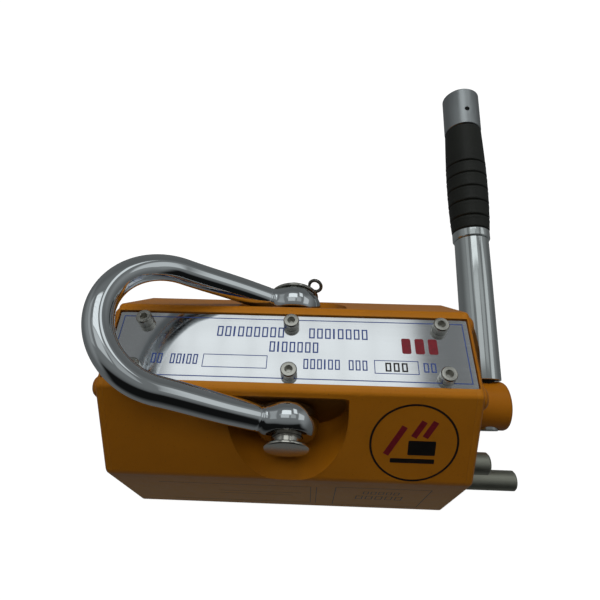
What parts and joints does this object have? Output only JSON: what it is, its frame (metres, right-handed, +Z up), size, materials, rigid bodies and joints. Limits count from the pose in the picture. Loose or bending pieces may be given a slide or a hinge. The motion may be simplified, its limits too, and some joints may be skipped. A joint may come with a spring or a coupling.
{
  "type": "permanent lifting magnet",
  "caption": "Block-shaped permanent lifting magnet with a vee-grooved pole face, a leaning bow shackle on a cross pin and a side lever that turns the rotor on and off.",
  "frame": {"origin": "middle of the flat floor of the vee groove under the body; the pole faces are 4 mm lower", "axes": "+X towards the lever end, +Y towards the back (the side the lever points to when off), +Z up"},
  "size_m": [0.1992, 0.2369, 0.126],
  "materials": {
    "orange_paint": "satin",
    "chrome": "polished",
    "turned_steel": "machined",
    "plate_steel": "polished",
    "aluminium": "satin",
    "brass": "machined",
    "bronze": "machined",
    "magnet": "nickel plated",
    "black_rubber": "matte",
    "spring_steel": "drawn"
  },
  "bodies": {
    "body": {"front_pole_block": "orange_paint", "rear_pole_block": "orange_paint", "bottom_gap_strip": "brass", "top_spacer": "aluminium", "fixed_magnet_1": "magnet", "fixed_magnet_2": "magnet", "fixed_magnet_3": "magnet", "nameplate": "plate_steel", "nameplate_screw_1": "turned_steel", "nameplate_screw_2": "turned_steel", "nameplate_screw_3": "turned_steel", "nameplate_screw_4": "turned_steel", "nameplate_screw_5": "turned_steel", "nameplate_screw_6": "turned_steel", "left_end_cover": "orange_paint", "right_end_cover": "orange_paint", "left_cover_screw_1": "orange_paint", "left_cover_screw_2": "orange_paint", "left_cover_screw_3": "orange_paint", "left_cover_screw_4": "orange_paint", "right_cover_screw_1": "orange_paint", "right_cover_screw_2": "orange_paint", "right_cover_screw_3": "orange_paint", "right_cover_screw_4": "orange_paint", "left_bearing": "bronze", "right_bearing": "bronze", "on_stop_pin": "turned_steel", "off_stop_pin": "turned_steel", "lock_spring": "spring_steel"},
    "lever": {"rotor_pole_a": "turned_steel", "rotor_pole_b": "turned_steel", "rotor_magnet_1": "magnet", "rotor_magnet_2": "magnet", "rotor_magnet_3": "magnet", "rotor_drive_shaft": "turned_steel", "rotor_idle_shaft": "turned_steel", "rotor_screw_1": "turned_steel", "rotor_screw_2": "turned_steel", "rotor_screw_3": "turned_steel", "rotor_screw_4": "turned_steel", "hub": "orange_paint", "hub_cross_pin": "turned_steel", "lever_rod": "turned_steel", "lever_tube": "chrome", "lever_collar": "chrome", "lever_grip": "black_rubber", "lever_end_cap": "aluminium", "cap_set_screw": "spring_steel"},
    "lock_pin": {"lock_pin": "turned_steel"},
    "shackle": {"shackle_bow": "chrome"},
    "shackle_pin": {"shackle_pin": "turned_steel", "shackle_washer": "turned_steel", "split_pin": "spring_steel"}
  },
  "joints": [
    {"name": "lever_swing", "type": "hinge", "parent": "body", "child": "lever", "pos_m": [0.1024, 0, 0.0285], "axis": [1, 0, 0], "range_deg": [0, 159]},
    {"name": "lock_press", "type": "slide", "parent": "body", "child": "lock_pin", "axis": [-1, 0, 0], "range_m": [0, 0.01], "stiffness_N_per_m": 400, "springref_m": -0.004, "deforming": ["lock_spring"]},
    {"name": "shackle_swing", "type": "hinge", "parent": "body", "child": "shackle", "pos_m": [0, 0, 0.0731], "axis": [0, 1, 0], "range_deg": [-1.5, 120.3]},
    {"name": "shackle_pin_spin", "type": "hinge", "parent": "shackle", "child": "shackle_pin", "pos_m": [0, 0, 0.0731], "axis": [0, 1, 0], "continuous": true}
  ]
}
